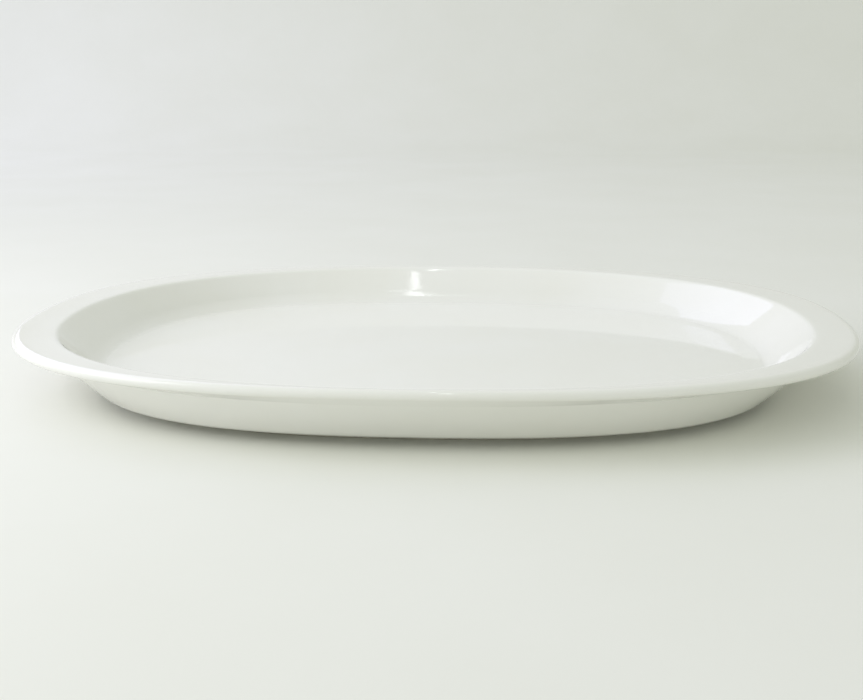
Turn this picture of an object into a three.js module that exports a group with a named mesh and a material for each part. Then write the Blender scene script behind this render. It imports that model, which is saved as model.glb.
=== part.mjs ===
// Oval serving platter in glazed vitrified china, with a shallow flat-bottomed well, a rim that is
// broad at the two ends and narrow along the two sides, a rolled lip and a foot ring underneath.
// Units are millimetres. +X runs along the platter, +Z is up, and the origin is the centre of the
// footprint on the plane that the foot ring stands on.

import * as THREE from 'three';

// Two sections through the wall give the shape: one at an end of the platter and one at a side.
// Reaches are measured from the centre, and the rim's height from the plane that the platter
// stands on. Leans are in degrees from upright. The lip's tuck is how far it curls on below its
// outermost line: right under at the ends, and only into the wall along the sides.
const END = {
  outermost: 178,
  wellEdge: 161.8,
  baseTurn: 139.4,
  foot: 128.8,
  rimHeight: 25.8,
  lipRadius: 2.5,
  lipTuck: 90,
  innerLean: 48,
  outerLean: 51.6,
};
const SIDE = {
  outermost: 127,
  wellEdge: 124,
  baseTurn: 105.6,
  foot: 95,
  rimHeight: 26.3,
  lipRadius: 2,
  lipTuck: 46,
  innerLean: 40,
  outerLean: 42,
};

// Every outline is an ellipse that swells towards its four corners. The fullness is how much
// larger it is there, as a fraction.
const WELL_FLOOR_FULLNESS = 0.07;
const WELL_EDGE_FULLNESS = 0.045;
const LIP_FULLNESS = 0.068;
const UNDER_RIM_FULLNESS = 0.06;
const BASE_FULLNESS = 0.085;

// Heights above the plane that the platter stands on.
const LIP_CREST_HEIGHT = 26.5;
const WELL_FLOOR_HEIGHT = 10;
const OUTER_BASE_HEIGHT = 3.4;
const INNER_BASE_HEIGHT = 4.4;
const GLAZE_LINE_HEIGHT = 1.1;

// Radii of the section, and half the foot's width over its glaze.
const WELL_EDGE_RADIUS = 2.5;
const WALL_FOOT_RADIUS = 24;
const COVE_RADIUS = 4;
const UNDER_RIM_RADIUS = 4;
const BASE_TURN_RADIUS = 6;
const FOOT_FILLET_RADIUS = 1;
const FOOT_EDGE_RADIUS = 0.8;
const FOOT_HALF_WIDTH = 3;

const GLAZE_THICKNESS = 0.3;

// How far the foot of the well's wall has eased over, in degrees, where the tight cove takes over.
const WALL_FOOT_TURN = 15;

// Facets around each oval, and along each rounded stretch of the section.
const FACETS_AROUND = 64;
const LIP_STEPS = 4;
const ROUND_STEPS = 3;
const SMALL_STEPS = 2;

// Directions in a section, in degrees from straight outwards.
const UP = 90;
const OUT = 0;
const DOWN = -90;
const IN = -180;

const CHINA = new THREE.MeshStandardMaterial({ color: 0xe2dbcb, roughness: 0.8, metalness: 0 });
const GLAZE = new THREE.MeshStandardMaterial({ color: 0xf1f1ec, roughness: 0.08, metalness: 0 });

function radians(degrees) {
  return THREE.MathUtils.degToRad(degrees);
}

// The unit step straight out of a surface that faces a direction, as reach and height.
function outOf(facing) {
  return new THREE.Vector2(Math.cos(radians(facing)), Math.sin(radians(facing)));
}

// The unit step along that surface, going from the well out over the lip and in underneath.
function along(facing) {
  return new THREE.Vector2(Math.sin(radians(facing)), -Math.cos(radians(facing)));
}

// Stations along a rounded stretch of a section. Each holds a point and the way it faces. The
// surface faces away from the centre on a convex stretch (bulge 1), and to it on a hollow one (-1).
function rounded(centre, radius, from, to, steps, bulge = 1) {
  const stations = [];
  for (let step = 0; step <= steps; step += 1) {
    const facing = THREE.MathUtils.lerp(from, to, step / steps);
    const point = centre.clone().addScaledVector(outOf(facing), bulge * radius);
    stations.push({ point, facing });
  }
  return stations;
}

function wellEdgeSection({ wellEdge, rimHeight, innerLean }) {
  const centre = new THREE.Vector2(wellEdge, rimHeight - WELL_EDGE_RADIUS);
  return rounded(centre, WELL_EDGE_RADIUS, UP + 90 - innerLean, UP, ROUND_STEPS);
}

// The tight cove at the border of the well's floor and the wider one at the foot of its wall, set
// at the reach where a straight wall carries on from them to the edge of the rim.
function coveSection(section) {
  const wallTop = wellEdgeSection(section)[0];
  const coveCentre = new THREE.Vector2(0, WELL_FLOOR_HEIGHT + COVE_RADIUS);
  const coveEnd = wallTop.facing - WALL_FOOT_TURN;
  const cove = rounded(coveCentre, COVE_RADIUS, UP, coveEnd, ROUND_STEPS, -1);
  const footCentre = coveCentre.addScaledVector(outOf(coveEnd), WALL_FOOT_RADIUS - COVE_RADIUS);
  const wallFoot = rounded(footCentre, WALL_FOOT_RADIUS, coveEnd, wallTop.facing, SMALL_STEPS, -1);
  const wallBottom = wallFoot.at(-1).point;
  const wallWidth = (wallTop.point.y - wallBottom.y) * Math.tan(radians(section.innerLean));
  const shift = new THREE.Vector2(wallTop.point.x - wallWidth - wallBottom.x, 0);
  return [...cove, ...wallFoot.slice(1)].map(({ point, facing }) => ({
    point: point.clone().add(shift),
    facing,
  }));
}

function lipSection({ outermost, lipRadius, lipTuck }) {
  const centre = new THREE.Vector2(outermost - lipRadius, LIP_CREST_HEIGHT - lipRadius);
  const over = rounded(centre, lipRadius, UP, OUT, LIP_STEPS);
  const under = rounded(centre, lipRadius, OUT, OUT - lipTuck, LIP_STEPS);
  return [...over, ...under.slice(1)];
}

function baseTurnSection({ baseTurn, outerLean }) {
  const centre = new THREE.Vector2(baseTurn, OUTER_BASE_HEIGHT + BASE_TURN_RADIUS);
  return rounded(centre, BASE_TURN_RADIUS, -outerLean, DOWN, ROUND_STEPS);
}

// The hollow corner under the rim, tangent to the rim's underside and to the outer wall.
function underRimSection(lipEnd, wallEnd) {
  const under = along(lipEnd.facing);
  const wall = along(wallEnd.facing);
  const gap = wallEnd.point.clone().sub(lipEnd.point);
  const run = gap.cross(wall) / under.cross(wall);
  const turn = radians(wallEnd.facing - lipEnd.facing);
  const setBack = UNDER_RIM_RADIUS * Math.tan(turn / 2);
  const start = lipEnd.point.clone().addScaledVector(under, run - setBack);
  const centre = start.addScaledVector(outOf(lipEnd.facing), UNDER_RIM_RADIUS);
  return rounded(centre, UNDER_RIM_RADIUS, lipEnd.facing, wallEnd.facing, ROUND_STEPS, -1);
}

// One flank of the foot, from the base down to the line where the glaze stops. The side is 1 for
// the flank that faces out and -1 for the one that faces in.
function footFlankSection({ foot }, side, baseHeight) {
  const facing = side > 0 ? OUT : IN;
  const reach = foot + side * FOOT_HALF_WIDTH;
  const filletHeight = baseHeight - FOOT_FILLET_RADIUS;
  const filletCentre = new THREE.Vector2(reach + side * FOOT_FILLET_RADIUS, filletHeight);
  return [
    ...rounded(filletCentre, FOOT_FILLET_RADIUS, DOWN, facing, SMALL_STEPS, -1),
    { point: new THREE.Vector2(reach, GLAZE_LINE_HEIGHT), facing },
  ];
}

// The bare china under the foot: a flat band with a small round along each border.
function bareFootSection({ foot }) {
  const flatHalfWidth = FOOT_HALF_WIDTH - GLAZE_THICKNESS - FOOT_EDGE_RADIUS;
  const outer = new THREE.Vector2(foot + flatHalfWidth, FOOT_EDGE_RADIUS);
  const inner = new THREE.Vector2(foot - flatHalfWidth, FOOT_EDGE_RADIUS);
  return [
    ...rounded(outer, FOOT_EDGE_RADIUS, OUT, DOWN, SMALL_STEPS),
    ...rounded(inner, FOOT_EDGE_RADIUS, DOWN, IN, SMALL_STEPS),
  ];
}

// Ovals through the matching stations of the section at the end and the one at the side.
function rings(drawSection, fullness) {
  const ends = drawSection(END);
  const sides = drawSection(SIDE);
  return ends.map((end, index) => ({ end, side: sides[index], fullness }));
}

// The same rings on the china, under a glaze of even thickness.
function underGlaze(glazedRings) {
  const sunk = ({ point, facing }) => ({
    point: point.clone().addScaledVector(outOf(facing), -GLAZE_THICKNESS),
    facing,
  });
  return glazedRings.map(({ end, side, fullness }) => ({ end: sunk(end), side: sunk(side), fullness }));
}

// The cosine of a whole number of facets, which is exactly zero at a quarter turn.
function facetCosine(facet) {
  const quarter = FACETS_AROUND / 4;
  return facet % (2 * quarter) === quarter ? 0 : Math.cos(2 * Math.PI * facet / FACETS_AROUND);
}

function facetSine(facet) {
  return facetCosine((facet + 3 * FACETS_AROUND / 4) % FACETS_AROUND);
}

// Points around a ring, whose height passes smoothly from the end section's to the side section's.
function ringPoints({ end, side, fullness }) {
  const points = [];
  for (let facet = 0; facet < FACETS_AROUND; facet += 1) {
    const cosine = facetCosine(facet);
    const sine = facetSine(facet);
    const swell = 1 + fullness * (2 * cosine * sine) ** 2;
    const height = end.point.y * cosine ** 2 + side.point.y * sine ** 2;
    points.push([end.point.x * cosine * swell, side.point.x * sine * swell, height]);
  }
  return points;
}

// Faces between two neighbouring rings, given by the first point of each. They point out when the
// rings run anticlockwise and follow the section from the upper face outwards and under.
function bandFaces(here, next) {
  const faces = [];
  for (let facet = 0; facet < FACETS_AROUND; facet += 1) {
    const beside = (facet + 1) % FACETS_AROUND;
    faces.push([here + facet, next + facet, next + beside]);
    faces.push([here + facet, next + beside, here + beside]);
  }
  return faces;
}

function surfaceFaces(firstPoint, ringCount) {
  const faces = [];
  for (let band = 0; band < ringCount - 1; band += 1) {
    const here = firstPoint + band * FACETS_AROUND;
    faces.push(...bandFaces(here, here + FACETS_AROUND));
  }
  return faces;
}

// A flat fan that fills a ring from its centre point and faces up.
function fanFaces(centre, firstPoint) {
  const faces = [];
  for (let facet = 0; facet < FACETS_AROUND; facet += 1) {
    const beside = (facet + 1) % FACETS_AROUND;
    faces.push([centre, firstPoint + facet, firstPoint + beside]);
  }
  return faces;
}

function flipped(faces) {
  return faces.map(([first, second, third]) => [first, third, second]);
}

function solidMesh(name, material, points, faces) {
  const geometry = new THREE.BufferGeometry();
  geometry.setAttribute('position', new THREE.Float32BufferAttribute(points.flat(), 3));
  geometry.setIndex(faces.flat());
  geometry.computeVertexNormals();
  const mesh = new THREE.Mesh(geometry, material);
  mesh.name = name;
  return mesh;
}

function centreOf({ end }) {
  return [0, 0, end.point.y];
}

// The outside over the glaze: from the well out over the rim and the lip, down the wall and in to
// the foot.
function outsideRings() {
  const underRim = (section) => underRimSection(lipSection(section).at(-1), baseTurnSection(section)[0]);
  return [
    ...rings(coveSection, WELL_FLOOR_FULLNESS),
    ...rings(wellEdgeSection, WELL_EDGE_FULLNESS),
    ...rings(lipSection, LIP_FULLNESS),
    ...rings(underRim, UNDER_RIM_FULLNESS),
    ...rings(baseTurnSection, BASE_FULLNESS),
    ...rings((section) => footFlankSection(section, 1, OUTER_BASE_HEIGHT), BASE_FULLNESS),
  ];
}

// The underside over the glaze, from the inside of the foot in to the flat base.
function undersideRings() {
  return rings((section) => footFlankSection(section, -1, INNER_BASE_HEIGHT), BASE_FULLNESS).reverse();
}

// The fired china: everything under the glaze, and the bare band that the platter stands on.
function chinaBody(outside, underside) {
  const bareFoot = rings(bareFootSection, BASE_FULLNESS);
  const china = [...underGlaze(outside), ...bareFoot, ...underGlaze(underside)];
  const points = china.flatMap(ringPoints);
  const lastRing = points.length - FACETS_AROUND;
  const upperCentre = points.push(centreOf(china[0])) - 1;
  const lowerCentre = points.push(centreOf(china.at(-1))) - 1;
  const faces = [
    ...fanFaces(upperCentre, 0),
    ...surfaceFaces(0, china.length),
    ...flipped(fanFaces(lowerCentre, lastRing)),
  ];
  return solidMesh('china_body', CHINA, points, faces);
}

// One unbroken coat over the well, the rim, the lip and the outside, down to the foot.
function mainGlaze(outside) {
  const china = underGlaze(outside);
  const points = [...outside, ...china].flatMap(ringPoints);
  const chinaStart = outside.length * FACETS_AROUND;
  const glazeCentre = points.push(centreOf(outside[0])) - 1;
  const chinaCentre = points.push(centreOf(china[0])) - 1;
  const faces = [
    ...fanFaces(glazeCentre, 0),
    ...surfaceFaces(0, outside.length),
    ...bandFaces(chinaStart - FACETS_AROUND, 2 * chinaStart - FACETS_AROUND),
    ...flipped(surfaceFaces(chinaStart, china.length)),
    ...flipped(fanFaces(chinaCentre, chinaStart)),
  ];
  return solidMesh('main_glaze', GLAZE, points, faces);
}

// The coat inside the foot ring, which the bare band of the foot parts from the main one.
function undersideGlaze(underside) {
  const china = underGlaze(underside);
  const points = [...underside, ...china].flatMap(ringPoints);
  const chinaStart = underside.length * FACETS_AROUND;
  const glazeCentre = points.push(centreOf(underside.at(-1))) - 1;
  const chinaCentre = points.push(centreOf(china.at(-1))) - 1;
  const faces = [
    ...surfaceFaces(0, underside.length),
    ...flipped(fanFaces(glazeCentre, chinaStart - FACETS_AROUND)),
    ...bandFaces(chinaStart, 0),
    ...flipped(surfaceFaces(chinaStart, china.length)),
    ...fanFaces(chinaCentre, 2 * chinaStart - FACETS_AROUND),
  ];
  return solidMesh('underside_glaze', GLAZE, points, faces);
}

const outside = outsideRings();
const underside = undersideRings();
const platter = new THREE.Group();
platter.add(chinaBody(outside, underside), mainGlaze(outside), undersideGlaze(underside));

export default platter;
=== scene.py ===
"""A white china serving platter: a glazed oval with a shallow well, a rolled lip and a foot ring.

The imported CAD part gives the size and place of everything. This script builds the fine surfaces of
the fired china and of its two coats of glaze around that frame, and their materials, the floor, the
studio light and the camera. Lengths are in metres, +X runs along the platter and +Z is up.
"""

import math
from collections import namedtuple

import bpy
import numpy as np
from mathutils import Matrix, Vector


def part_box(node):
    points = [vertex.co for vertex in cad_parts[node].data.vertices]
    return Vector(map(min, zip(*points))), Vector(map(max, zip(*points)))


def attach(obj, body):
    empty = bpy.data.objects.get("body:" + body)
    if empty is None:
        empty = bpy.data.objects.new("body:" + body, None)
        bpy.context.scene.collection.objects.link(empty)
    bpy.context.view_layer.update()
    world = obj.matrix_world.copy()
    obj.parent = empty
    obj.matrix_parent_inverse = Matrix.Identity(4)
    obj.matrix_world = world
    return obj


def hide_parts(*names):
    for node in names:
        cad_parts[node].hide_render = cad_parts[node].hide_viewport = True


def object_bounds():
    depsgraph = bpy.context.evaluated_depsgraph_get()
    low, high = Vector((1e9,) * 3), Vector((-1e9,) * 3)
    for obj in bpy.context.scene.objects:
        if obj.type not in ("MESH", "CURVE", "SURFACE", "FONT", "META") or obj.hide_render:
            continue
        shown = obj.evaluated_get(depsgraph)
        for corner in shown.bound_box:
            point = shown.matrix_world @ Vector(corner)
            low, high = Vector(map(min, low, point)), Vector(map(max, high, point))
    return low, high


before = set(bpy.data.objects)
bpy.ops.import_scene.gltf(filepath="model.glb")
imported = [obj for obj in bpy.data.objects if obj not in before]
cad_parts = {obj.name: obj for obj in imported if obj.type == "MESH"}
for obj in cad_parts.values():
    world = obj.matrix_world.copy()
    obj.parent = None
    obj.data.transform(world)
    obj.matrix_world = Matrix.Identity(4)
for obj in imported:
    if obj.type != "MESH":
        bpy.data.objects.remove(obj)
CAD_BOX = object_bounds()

MM = 0.001

# What the CAD frame gives: the middle, the overall size, and the plane that the foot stands on. The
# line where the glaze ends and the base inside the foot come from it too, further down.
CAD_LOW, CAD_HIGH = CAD_BOX
CENTRE = (CAD_LOW + CAD_HIGH) / 2
HALF_LENGTH = (CAD_HIGH.x - CAD_LOW.x) / 2
HALF_WIDTH = (CAD_HIGH.y - CAD_LOW.y) / 2
LIP_TOP = CAD_HIGH.z
FOOT_PLANE = CAD_LOW.z

# The glaze: its thickness, how it thins out towards its edge at the foot, and where it ends. The
# taper's least is the square of the share of the thickness that is left at the edge.
GLAZE_THICKNESS = 0.3 * MM
GLAZE_TAPER_LENGTH = 2.5 * GLAZE_THICKNESS
GLAZE_TAPER_LEAST = 0.03
GLAZE_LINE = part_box("underside_glaze")[0].z
INNER_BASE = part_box("underside_glaze")[1].z - GLAZE_THICKNESS

# Two sections through the wall over its glaze, one at an end and one at a side. Reaches are from
# the centre, and leans and tucks are in degrees. The visible surface stays a hair inside the CAD.
HAIR = 0.02 * MM
Section = namedtuple(
    "Section",
    "outermost well_edge base_turn foot rim_height lip_radius lip_tuck inner_lean outer_lean",
)
END = Section(
    outermost=HALF_LENGTH - HAIR,
    well_edge=HALF_LENGTH - 16.2 * MM,
    base_turn=HALF_LENGTH - 38.6 * MM,
    foot=HALF_LENGTH - 49.2 * MM,
    rim_height=LIP_TOP - 0.7 * MM,
    lip_radius=2.5 * MM,
    lip_tuck=90,
    inner_lean=48,
    outer_lean=51.6,
)
SIDE = Section(
    outermost=HALF_WIDTH - HAIR,
    well_edge=HALF_WIDTH - 3 * MM,
    base_turn=HALF_WIDTH - 21.4 * MM,
    foot=HALF_WIDTH - 32 * MM,
    rim_height=LIP_TOP - 0.2 * MM,
    lip_radius=2 * MM,
    lip_tuck=46,
    inner_lean=40,
    outer_lean=42,
)

# How much larger each oval is at its four corners than an ellipse, as a fraction.
WELL_FLOOR_FULLNESS = 0.07
WELL_EDGE_FULLNESS = 0.045
LIP_FULLNESS = 0.068
UNDER_RIM_FULLNESS = 0.06
BASE_FULLNESS = 0.085

# Heights and radii of the section, and how far the wall's foot turns, in degrees.
WELL_FLOOR = FOOT_PLANE + 10 * MM
OUTER_BASE = FOOT_PLANE + 3.4 * MM
WELL_EDGE_RADIUS = 2.5 * MM
WALL_FOOT_RADIUS = 24 * MM
WALL_FOOT_TURN = 15
COVE_RADIUS = 4 * MM
UNDER_RIM_RADIUS = 4 * MM
BASE_TURN_RADIUS = 6 * MM
FOOT_FILLET_RADIUS = 1 * MM
FOOT_EDGE_RADIUS = 0.8 * MM
FOOT_HALF_WIDTH = 3 * MM

# How finely the surfaces are made, and how the joins in the section are softened: over what length,
# and how many such lengths the softening reaches.
POINTS_AROUND = 288
FINE_STEP = 0.5 * MM
FLOOR_STEP = 5 * MM
ARC_STEPS = 12
SOFTEN_LENGTH = 0.6 * MM
SOFTEN_REACH = 3

# Directions in a section, in degrees from straight outwards.
UP, OUT, DOWN, IN = 90, 0, -90, -180


# ---- the sections: stations, each (reach, height, facing), from the well out and under ----

def out_of(facing):
    """The unit step straight out of a surface that faces a direction, as reach and height."""
    return np.array([math.cos(math.radians(facing)), math.sin(math.radians(facing))])


def along(facing):
    """The unit step along that surface, going from the well out over the lip and in underneath."""
    return np.array([math.sin(math.radians(facing)), -math.cos(math.radians(facing))])


def rounded(centre, radius, start, end, bulge=1):
    """Stations on an arc, whose surface faces away from the centre, or to it if the bulge is -1."""
    return [
        (*(centre + bulge * radius * out_of(facing)), facing)
        for facing in np.linspace(start, end, ARC_STEPS + 1)
    ]


def well_edge(section):
    centre = np.array([section.well_edge, section.rim_height - WELL_EDGE_RADIUS])
    return rounded(centre, WELL_EDGE_RADIUS, UP + 90 - section.inner_lean, UP)


def cove(section):
    """The tight cove at the border of the well's floor and the wider one at the foot of its wall,
    set at the reach where a straight wall carries on from them to the edge of the rim."""
    top_reach, top_height, wall_facing = well_edge(section)[0]
    turned = wall_facing - WALL_FOOT_TURN
    cove_centre = np.array([0, WELL_FLOOR + COVE_RADIUS])
    foot_centre = cove_centre + out_of(turned) * (WALL_FOOT_RADIUS - COVE_RADIUS)
    border = rounded(cove_centre, COVE_RADIUS, UP, turned, -1)
    wall_foot = rounded(foot_centre, WALL_FOOT_RADIUS, turned, wall_facing, -1)
    bottom_reach, bottom_height, _ = wall_foot[-1]
    wall_width = (top_height - bottom_height) * math.tan(math.radians(section.inner_lean))
    shift = top_reach - wall_width - bottom_reach
    return [(reach + shift, height, facing) for reach, height, facing in border + wall_foot[1:]]


def lip(section):
    radius = section.lip_radius
    centre = np.array([section.outermost - radius, LIP_TOP - HAIR - radius])
    over = rounded(centre, radius, UP, OUT)
    return over + rounded(centre, radius, OUT, OUT - section.lip_tuck)[1:]


def base_turn(section):
    centre = np.array([section.base_turn, OUTER_BASE + BASE_TURN_RADIUS])
    return rounded(centre, BASE_TURN_RADIUS, -section.outer_lean, DOWN)


def cross(first, second):
    return first[0] * second[1] - first[1] * second[0]


def under_rim(section):
    """The hollow corner under the rim, tangent to the rim's underside and to the outer wall."""
    *lip_end, lip_facing = lip(section)[-1]
    *wall_end, wall_facing = base_turn(section)[0]
    gap = np.array(wall_end) - np.array(lip_end)
    run = cross(gap, along(wall_facing)) / cross(along(lip_facing), along(wall_facing))
    turn = math.radians(wall_facing - lip_facing)
    set_back = UNDER_RIM_RADIUS * math.tan(turn / 2)
    start = np.array(lip_end) + along(lip_facing) * (run - set_back)
    centre = start + out_of(lip_facing) * UNDER_RIM_RADIUS
    return rounded(centre, UNDER_RIM_RADIUS, lip_facing, wall_facing, -1)


def foot_flank(section, side, base_height):
    """One flank of the foot down to the glaze line: 1 is the outside, -1 the inside."""
    facing = OUT if side > 0 else IN
    reach = section.foot + side * FOOT_HALF_WIDTH
    centre = np.array([reach + side * FOOT_FILLET_RADIUS, base_height - FOOT_FILLET_RADIUS])
    fillet = rounded(centre, FOOT_FILLET_RADIUS, DOWN, facing, -1)
    return fillet + [(reach, GLAZE_LINE, facing)]


def outer_flank(section):
    return foot_flank(section, 1, OUTER_BASE)


def inner_flank(section):
    return foot_flank(section, -1, INNER_BASE)


def bare_foot(section):
    """The bare china under the foot: a flat band with a small round along each border."""
    flat_half_width = FOOT_HALF_WIDTH - GLAZE_THICKNESS - FOOT_EDGE_RADIUS
    height = FOOT_PLANE + FOOT_EDGE_RADIUS
    outer = np.array([section.foot + flat_half_width, height])
    inner = np.array([section.foot - flat_half_width, height])
    return rounded(outer, FOOT_EDGE_RADIUS, OUT, DOWN) + rounded(inner, FOOT_EDGE_RADIUS, DOWN, IN)


# ---- rings: rows of (end reach, end height, side reach, side height, fullness) ----

def china_rings(draw, fullness, depth=GLAZE_THICKNESS):
    """Ovals through the matching stations of the two sections, under a glaze of that depth."""
    columns = []
    for section in (END, SIDE):
        stations = draw(section)
        sunk = [np.array(point) - depth * out_of(facing) for *point, facing in stations]
        columns += list(np.array(sunk).T)
    columns.append(np.full(len(columns[0]), fullness))
    return np.stack(columns, axis=1)


def run_length(rings):
    """The distance along the section to each ring, as a mean of the end and the side."""
    steps = np.diff(rings, axis=0)
    lengths = (np.hypot(steps[:, 0], steps[:, 1]) + np.hypot(steps[:, 2], steps[:, 3])) / 2
    return np.concatenate([[0], np.cumsum(lengths)])


def refined(rings):
    """The rings spaced evenly along the section, with the joins of its arcs and runs softened."""
    run = run_length(rings)
    places = np.linspace(0, run[-1], round(run[-1] / FINE_STEP) + 1)
    fine = np.stack([np.interp(places, run, column) for column in rings.T], axis=1)
    reach = round(SOFTEN_REACH * SOFTEN_LENGTH / FINE_STEP)
    offsets = np.arange(-reach, reach + 1) * FINE_STEP
    weights = np.exp(-0.5 * (offsets / SOFTEN_LENGTH) ** 2)
    weights /= weights.sum()
    before = 2 * fine[0] - fine[reach:0:-1]
    after = 2 * fine[-1] - fine[-2:-reach - 2:-1]
    padded = np.concatenate([before, fine, after])
    return np.stack([np.convolve(column, weights, "valid") for column in padded.T], axis=1)


def floor_rings(border):
    """Rings over a flat floor, from near its centre out to its border."""
    count = round(border[0] / FLOOR_STEP)
    scales = np.arange(1, count) / count
    return np.array([border * (scale, 1, scale, 1, 1) for scale in scales])


def outside_rings():
    """The china under the main glaze, from the middle of the well out, down and in to the foot."""
    rings = refined(np.concatenate([
        china_rings(cove, WELL_FLOOR_FULLNESS),
        china_rings(well_edge, WELL_EDGE_FULLNESS),
        china_rings(lip, LIP_FULLNESS),
        china_rings(under_rim, UNDER_RIM_FULLNESS),
        china_rings(base_turn, BASE_FULLNESS),
        china_rings(outer_flank, BASE_FULLNESS),
    ]))
    return np.concatenate([floor_rings(rings[0]), rings])


def underside_rings():
    """The china inside the foot, from its glaze line in to the middle of the underside."""
    rings = refined(china_rings(inner_flank, BASE_FULLNESS))[::-1]
    return np.concatenate([rings, floor_rings(rings[-1])[::-1]])


# ---- surfaces: grids of points, one row for each ring ----

def ring_grid(rings):
    turn = np.linspace(0, 2 * math.pi, POINTS_AROUND, endpoint=False)
    along_axis, across_axis = np.cos(turn), np.sin(turn)
    swell = 1 + rings[:, 4:5] * (2 * along_axis * across_axis) ** 2
    x = CENTRE.x + rings[:, 0:1] * along_axis * swell
    y = CENTRE.y + rings[:, 2:3] * across_axis * swell
    z = rings[:, 1:2] * along_axis ** 2 + rings[:, 3:4] * across_axis ** 2
    return np.stack([x, y, z], axis=2)


def grid_normals(grid):
    """Normals that point out of the china where the rings run from the well out and under."""
    around = np.roll(grid, -1, axis=1) - np.roll(grid, 1, axis=1)
    onward = np.gradient(grid, axis=0)
    normals = np.cross(onward, around)
    return normals / np.linalg.norm(normals, axis=2, keepdims=True)


def band_faces(here, there):
    """Quads between two rings of points, which face out when the rings follow the section."""
    faces = []
    for i in range(POINTS_AROUND):
        beside = (i + 1) % POINTS_AROUND
        faces.append((here + i, there + i, there + beside, here + beside))
    return faces


def grid_faces(first, rows):
    faces = []
    for row in range(rows - 1):
        here = first + row * POINTS_AROUND
        faces += band_faces(here, here + POINTS_AROUND)
    return faces


def fan_faces(centre, first):
    return [(centre, first + i, first + (i + 1) % POINTS_AROUND) for i in range(POINTS_AROUND)]


def flipped(faces):
    return [tuple(reversed(face)) for face in faces]


def solid(name, material, grids, centres, faces):
    """A closed piece: its points are those of the grids, and then the centres of its flat ends."""
    mesh = bpy.data.meshes.new(name)
    points = np.concatenate([grid.reshape(-1, 3) for grid in grids] + [np.array(centres)])
    mesh.from_pydata(points.tolist(), [], faces)
    mesh.validate()
    mesh.shade_smooth()
    mesh.materials.append(material)
    piece = bpy.data.objects.new(name, mesh)
    bpy.context.scene.collection.objects.link(piece)
    return piece


def centre_of(grid_row):
    return (CENTRE.x, CENTRE.y, grid_row[0][2])


def glaze_depths(rings):
    """The glaze's thickness on each ring: full on the flats, and drawn to a soft edge at its end."""
    from_end = run_length(rings)[-1] - run_length(rings)
    tapered = np.clip(from_end / GLAZE_TAPER_LENGTH, 0, 1)
    return GLAZE_THICKNESS * np.sqrt(np.clip(1 - (1 - tapered) ** 2, GLAZE_TAPER_LEAST, 1))


def build_china(outside, underside, material):
    foot = china_rings(bare_foot, BASE_FULLNESS, depth=0)
    grid = ring_grid(np.concatenate([outside, foot, underside]))
    rows = len(grid)
    upper = rows * POINTS_AROUND
    last = upper - POINTS_AROUND
    faces = fan_faces(upper, 0) + grid_faces(0, rows) + flipped(fan_faces(upper + 1, last))
    centres = [centre_of(grid[0]), centre_of(grid[-1])]
    return solid("fired_china", material, [grid], centres, faces)


def build_main_glaze(outside, material):
    china = ring_grid(outside)
    coat = china + grid_normals(china) * glaze_depths(outside)[:, None, None]
    rows = len(china)
    start = rows * POINTS_AROUND
    faces = fan_faces(2 * start, 0) + grid_faces(0, rows)
    faces += band_faces(start - POINTS_AROUND, 2 * start - POINTS_AROUND)
    faces += flipped(grid_faces(start, rows) + fan_faces(2 * start + 1, start))
    centres = [centre_of(coat[0]), centre_of(china[0])]
    return solid("main_glaze_coat", material, [coat, china], centres, faces)


def build_underside_glaze(underside, material):
    china = ring_grid(underside)
    coat = china + grid_normals(china) * glaze_depths(underside[::-1])[::-1, None, None]
    rows = len(china)
    start = rows * POINTS_AROUND
    faces = grid_faces(0, rows) + flipped(fan_faces(2 * start, start - POINTS_AROUND))
    faces += band_faces(start, 0)
    faces += flipped(grid_faces(start, rows))
    faces += fan_faces(2 * start + 1, 2 * start - POINTS_AROUND)
    centres = [centre_of(coat[-1]), centre_of(china[-1])]
    return solid("underside_glaze_coat", material, [coat, china], centres, faces)


# ---- materials ----

def new_material(name):
    material = bpy.data.materials.new(name)
    material.use_nodes = True
    tree = material.node_tree
    return material, tree, tree.nodes["Principled BSDF"]


def place(tree):
    """Object coordinates, in metres."""
    return tree.nodes.new("ShaderNodeTexCoord").outputs["Object"]


def noise(tree, scale, detail, roughness=0.5):
    node = tree.nodes.new("ShaderNodeTexNoise")
    node.inputs["Scale"].default_value = scale
    node.inputs["Detail"].default_value = detail
    node.inputs["Roughness"].default_value = roughness
    tree.links.new(place(tree), node.inputs["Vector"])
    return node.outputs["Fac"]


def ranged(tree, value, source, target=(0, 1)):
    """A value moved from one range to another and held there."""
    node = tree.nodes.new("ShaderNodeMapRange")
    node.inputs["From Min"].default_value, node.inputs["From Max"].default_value = source
    node.inputs["To Min"].default_value, node.inputs["To Max"].default_value = target
    tree.links.new(value, node.inputs["Value"])
    return node.outputs["Result"]


def blended(tree, factor, first, second):
    """A colour between two: each is a colour or the output of another node."""
    node = tree.nodes.new("ShaderNodeMix")
    node.data_type = "RGBA"
    tree.links.new(factor, node.inputs["Factor"])
    for socket, colour in ((node.inputs[6], first), (node.inputs[7], second)):
        if isinstance(colour, tuple):
            socket.default_value = (*colour, 1)
        else:
            tree.links.new(colour, socket)
    return node.outputs[2]


def bumped(tree, height, strength, distance, under=None):
    node = tree.nodes.new("ShaderNodeBump")
    node.inputs["Strength"].default_value = strength
    node.inputs["Distance"].default_value = distance
    tree.links.new(height, node.inputs["Height"])
    if under is not None:
        tree.links.new(under, node.inputs["Normal"])
    return node.outputs["Normal"]


def height_of(tree):
    """The height of the shaded point, in metres."""
    node = tree.nodes.new("ShaderNodeSeparateXYZ")
    tree.links.new(place(tree), node.inputs["Vector"])
    return node.outputs["Z"]


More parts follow.
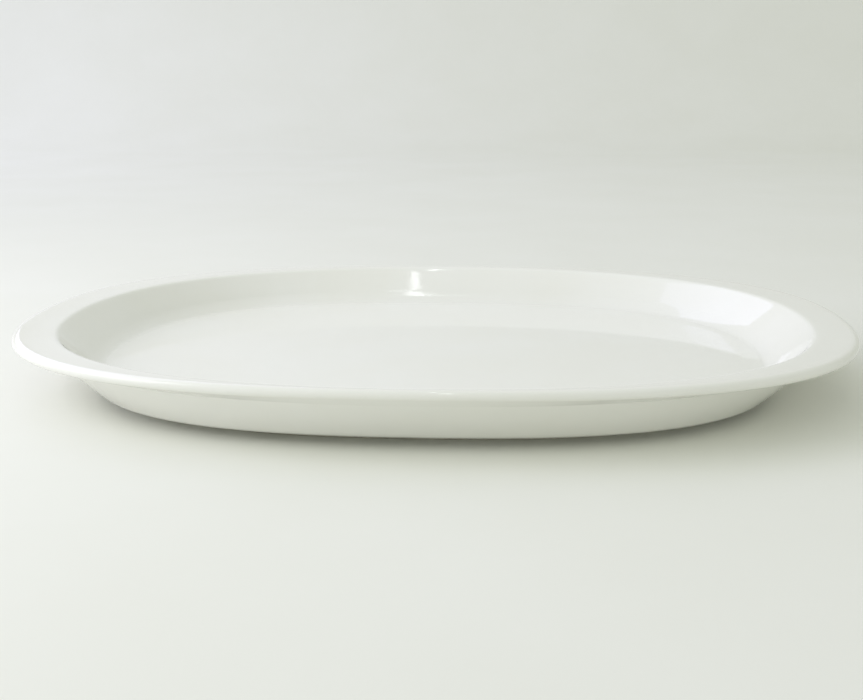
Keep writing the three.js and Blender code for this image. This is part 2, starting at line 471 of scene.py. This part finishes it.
def specks(tree, spacing, radius):
    """Sparse round specks: 1 at the middle of each and 0 between them."""
    node = tree.nodes.new("ShaderNodeTexVoronoi")
    node.inputs["Scale"].default_value = 1 / spacing
    node.inputs["Randomness"].default_value = 1
    tree.links.new(place(tree), node.inputs["Vector"])
    return ranged(tree, node.outputs["Distance"], (0, radius / spacing), (1, 0))


# Noises are given by scale and detail, and some by roughness too. Bumps are given by strength and
# by depth in metres. Bands are the stretch of a noise's values over which a blend or a wear runs.

GLAZE_WHITE = (0.892, 0.892, 0.852)
GLAZE_CREAM = (0.88, 0.878, 0.828)
GLAZE_THIN = (0.865, 0.855, 0.8)
GLAZE_SPECK = (0.42, 0.37, 0.29)
GLAZE_MOTTLE = (22, 4)
GLAZE_MOTTLE_BAND = (0.35, 0.65)
GLAZE_THIN_DEPTH = 0.9 * MM
GLAZE_THIN_SHARE = 0.5
GLAZE_SPECK_SPACING = 34 * MM
GLAZE_SPECK_RADIUS = 0.35 * MM
GLAZE_WEAR = (140, 6, 0.65)
GLAZE_WEAR_BAND = (0.3, 0.7)
GLAZE_ROUGHNESS = (0.022, 0.06)
GLAZE_WAVES = (28, 1)
GLAZE_WAVES_BUMP = (0.3, 0.15 * MM)
GLAZE_SKIN = (420, 2)
GLAZE_SKIN_BUMP = (0.1, 0.02 * MM)
GLAZE_IOR = 1.52


def glaze_material():
    """A clear gloss glaze over white china. It is faintly mottled and wavy, a little warmer on the
    lip's crest where it has run thin, finely worn, and has a few pinhead specks."""
    material, tree, shader = new_material("gloss_glaze")
    mottle = ranged(tree, noise(tree, *GLAZE_MOTTLE), GLAZE_MOTTLE_BAND)
    body = blended(tree, mottle, GLAZE_WHITE, GLAZE_CREAM)
    crest = (LIP_TOP - GLAZE_THIN_DEPTH, LIP_TOP)
    thin = ranged(tree, height_of(tree), crest, (0, GLAZE_THIN_SHARE))
    edged = blended(tree, thin, body, GLAZE_THIN)
    speck = specks(tree, GLAZE_SPECK_SPACING, GLAZE_SPECK_RADIUS)
    tree.links.new(blended(tree, speck, edged, GLAZE_SPECK), shader.inputs["Base Color"])
    wear = ranged(tree, noise(tree, *GLAZE_WEAR), GLAZE_WEAR_BAND, GLAZE_ROUGHNESS)
    tree.links.new(wear, shader.inputs["Roughness"])
    waves = bumped(tree, noise(tree, *GLAZE_WAVES), *GLAZE_WAVES_BUMP)
    skin = bumped(tree, noise(tree, *GLAZE_SKIN), *GLAZE_SKIN_BUMP, waves)
    tree.links.new(skin, shader.inputs["Normal"])
    shader.inputs["IOR"].default_value = GLAZE_IOR
    return material


CHINA_WARM = (0.71, 0.665, 0.575)
CHINA_PALE = (0.79, 0.755, 0.68)
CHINA_WORN = (0.5, 0.465, 0.4)
CHINA_MOTTLE = (160, 5)
CHINA_MOTTLE_BAND = (0.35, 0.65)
CHINA_RUB = (60, 4, 0.6)
CHINA_RUB_BAND = (0.52, 0.68)
CHINA_RUB_SHARE = 0.6
CHINA_ROUGHNESS = (0.68, 0.9)
CHINA_GRIT = (2600, 3, 0.7)
CHINA_GRIT_BUMP = (0.5, 0.12 * MM)


def china_material():
    """The bare fired china of the foot: matt, gritty, and grey where it has rubbed on shelves."""
    material, tree, shader = new_material("bare_china")
    mottle = ranged(tree, noise(tree, *CHINA_MOTTLE), CHINA_MOTTLE_BAND)
    rubbed = ranged(tree, noise(tree, *CHINA_RUB), CHINA_RUB_BAND, (0, CHINA_RUB_SHARE))
    clean = blended(tree, mottle, CHINA_PALE, CHINA_WARM)
    tree.links.new(blended(tree, rubbed, clean, CHINA_WORN), shader.inputs["Base Color"])
    tree.links.new(ranged(tree, mottle, (0, 1), CHINA_ROUGHNESS), shader.inputs["Roughness"])
    grit = bumped(tree, noise(tree, *CHINA_GRIT), *CHINA_GRIT_BUMP)
    tree.links.new(grit, shader.inputs["Normal"])
    return material


PAPER_PALE = (0.85, 0.853, 0.8)
PAPER_GREY = (0.832, 0.835, 0.775)
PAPER_MOTTLE = (9, 5)
PAPER_MOTTLE_BAND = (0.3, 0.7)
PAPER_GRAIN = (900, 4)
PAPER_GRAIN_BUMP = (0.15, 0.1 * MM)
PAPER_ROUGHNESS = 0.9
PAPER_SPECULAR = 0.2


def paper_material():
    """Plain pale paper for the floor."""
    material, tree, shader = new_material("floor_paper")
    mottle = ranged(tree, noise(tree, *PAPER_MOTTLE), PAPER_MOTTLE_BAND)
    tree.links.new(blended(tree, mottle, PAPER_GREY, PAPER_PALE), shader.inputs["Base Color"])
    grain = bumped(tree, noise(tree, *PAPER_GRAIN), *PAPER_GRAIN_BUMP)
    tree.links.new(grain, shader.inputs["Normal"])
    shader.inputs["Roughness"].default_value = PAPER_ROUGHNESS
    shader.inputs["Specular IOR Level"].default_value = PAPER_SPECULAR
    return material


# ---- the stage: floor and backdrop in one sweep, lights and camera ----

FLOOR_HALF_WIDTH = 3.5
FLOOR_FRONT = -3
SWEEP_START = 1.25
SWEEP_RADIUS = 0.5
SWEEP_HEIGHT = 2
SWEEP_STEPS = 16


def build_floor():
    """A plain floor that curves up into a backdrop well behind the platter."""
    profile = [(FLOOR_FRONT, FOOT_PLANE)]
    for step in range(SWEEP_STEPS + 1):
        angle = math.pi / 2 * step / SWEEP_STEPS
        y = SWEEP_START + SWEEP_RADIUS * math.sin(angle)
        z = FOOT_PLANE + SWEEP_RADIUS * (1 - math.cos(angle))
        profile.append((y, z))
    profile.append((SWEEP_START + SWEEP_RADIUS, SWEEP_HEIGHT))
    points = [(x, y, z) for y, z in profile for x in (-FLOOR_HALF_WIDTH, FLOOR_HALF_WIDTH)]
    faces = [(2 * i, 2 * i + 1, 2 * i + 3, 2 * i + 2) for i in range(len(profile) - 1)]
    mesh = bpy.data.meshes.new("floor")
    mesh.from_pydata(points, [], faces)
    mesh.shade_smooth()
    mesh.materials.append(paper_material())
    floor = bpy.data.objects.new("floor", mesh)
    bpy.context.scene.collection.objects.link(floor)


# Windows face the platter. Each has a bearing from +X and a rise, in degrees, and a distance.
Window = namedtuple("Window", "name bearing rise distance size power colour")
WINDOWS = (
    Window("near_window", 200, 30, 0.8, (0.56, 0.48), 2.35, (0.93, 0.925, 1)),
    Window("far_window", 150, 35, 1.6, (2, 1.4), 10, (0.72, 0.7, 1)),
)

# Pieces of lighting tube face straight down. Each has a centre, a bearing in degrees from +Y and a
# size, and they share their height, brightness and colour. They are there for their highlights and
# give little light. The short one is turned across the others to hold its highlight upright, because
# the well's wall, as modelled, would slant the highlight of one straight tube.
Tube = namedtuple("Tube", "name centre bearing size")
TUBES = (
    Tube("tube_short", (-0.0345, -0.383), -32, (0.0125, 0.044)),
    Tube("tube_long", (-0.0525, -0.19), 2.5, (0.01, 0.3)),
    Tube("tube_front", (-0.012, -0.95), 2.5, (0.03, 0.5)),
)
TUBE_HEIGHT = 1.3
TUBE_RADIANCE = 7.5
TUBE_COLOUR = (0.95, 0.97, 1)

ROOM_COLOUR = (0.965, 1, 0.93)
ROOM_STRENGTH = 0.69


def area_light(name, position, turn, size, power, colour):
    data = bpy.data.lights.new(name, "AREA")
    data.shape = "RECTANGLE"
    data.size, data.size_y = size
    data.energy = power
    data.color = colour
    light = bpy.data.objects.new(name, data)
    light.matrix_world = Matrix.Translation(position) @ turn.to_matrix().to_4x4()
    light.visible_camera = False
    bpy.context.scene.collection.objects.link(light)


def build_window(window):
    bearing = math.radians(window.bearing)
    rise = math.radians(window.rise)
    level = window.distance * math.cos(rise)
    position = Vector((
        level * math.cos(bearing),
        level * math.sin(bearing),
        window.distance * math.sin(rise),
    ))
    turn = (-position).to_track_quat("-Z", "Y")
    area_light(window.name, position, turn, window.size, window.power, window.colour)


def build_tube(tube):
    width, length = tube.size
    turn = Matrix.Rotation(math.radians(tube.bearing), 3, "Z").to_quaternion()
    power = TUBE_RADIANCE * math.pi * width * length
    position = Vector((*tube.centre, TUBE_HEIGHT))
    area_light(tube.name, position, turn, tube.size, power, TUBE_COLOUR)


def build_lights():
    """Two windows on the left, lighting tubes overhead, and the room's own pale light."""
    for window in WINDOWS:
        build_window(window)
    for tube in TUBES:
        build_tube(tube)
    world = bpy.data.worlds.new("room")
    world.use_nodes = True
    background = world.node_tree.nodes["Background"]
    background.inputs["Color"].default_value = (*ROOM_COLOUR, 1)
    background.inputs["Strength"].default_value = ROOM_STRENGTH
    bpy.context.scene.world = world


# Where the camera stands, how it is turned, in degrees, and its lens and sensor, in millimetres.
CAMERA_SIDE = 32.7 * MM
CAMERA_DISTANCE = 526.2 * MM
CAMERA_OVER_RIM = 112.1 * MM
CAMERA_YAW = 3.68
CAMERA_PITCH = -13.61
CAMERA_ROLL = -0.17
CAMERA_LENS = 51.1
SENSOR_WIDTH = 36


def build_camera():
    """A normal lens low in front of the platter, a little to the right of its middle."""
    data = bpy.data.cameras.new("camera")
    data.sensor_width = SENSOR_WIDTH
    data.lens = CAMERA_LENS
    camera = bpy.data.objects.new("camera", data)
    yaw = Matrix.Rotation(math.radians(CAMERA_YAW), 4, "Z")
    pitch = Matrix.Rotation(math.radians(90 + CAMERA_PITCH), 4, "X")
    roll = Matrix.Rotation(math.radians(CAMERA_ROLL), 4, "Z")
    position = Vector((CAMERA_SIDE, -CAMERA_DISTANCE, END.rim_height + CAMERA_OVER_RIM))
    camera.matrix_world = Matrix.Translation(position) @ yaw @ pitch @ roll
    bpy.context.scene.collection.objects.link(camera)
    bpy.context.scene.camera = camera


build_camera()
build_floor()
build_lights()
bpy.context.scene.view_settings.view_transform = "Standard"

outside = outside_rings()
underside = underside_rings()
glaze = glaze_material()
pieces = [
    (build_china(outside, underside, china_material()), "china_body", "china"),
    (build_main_glaze(outside, glaze), "main_glaze", "glaze"),
    (build_underside_glaze(underside, glaze), "underside_glaze", "glaze"),
]
for piece, node, slot in pieces:
    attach(piece, "root")
    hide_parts(node)
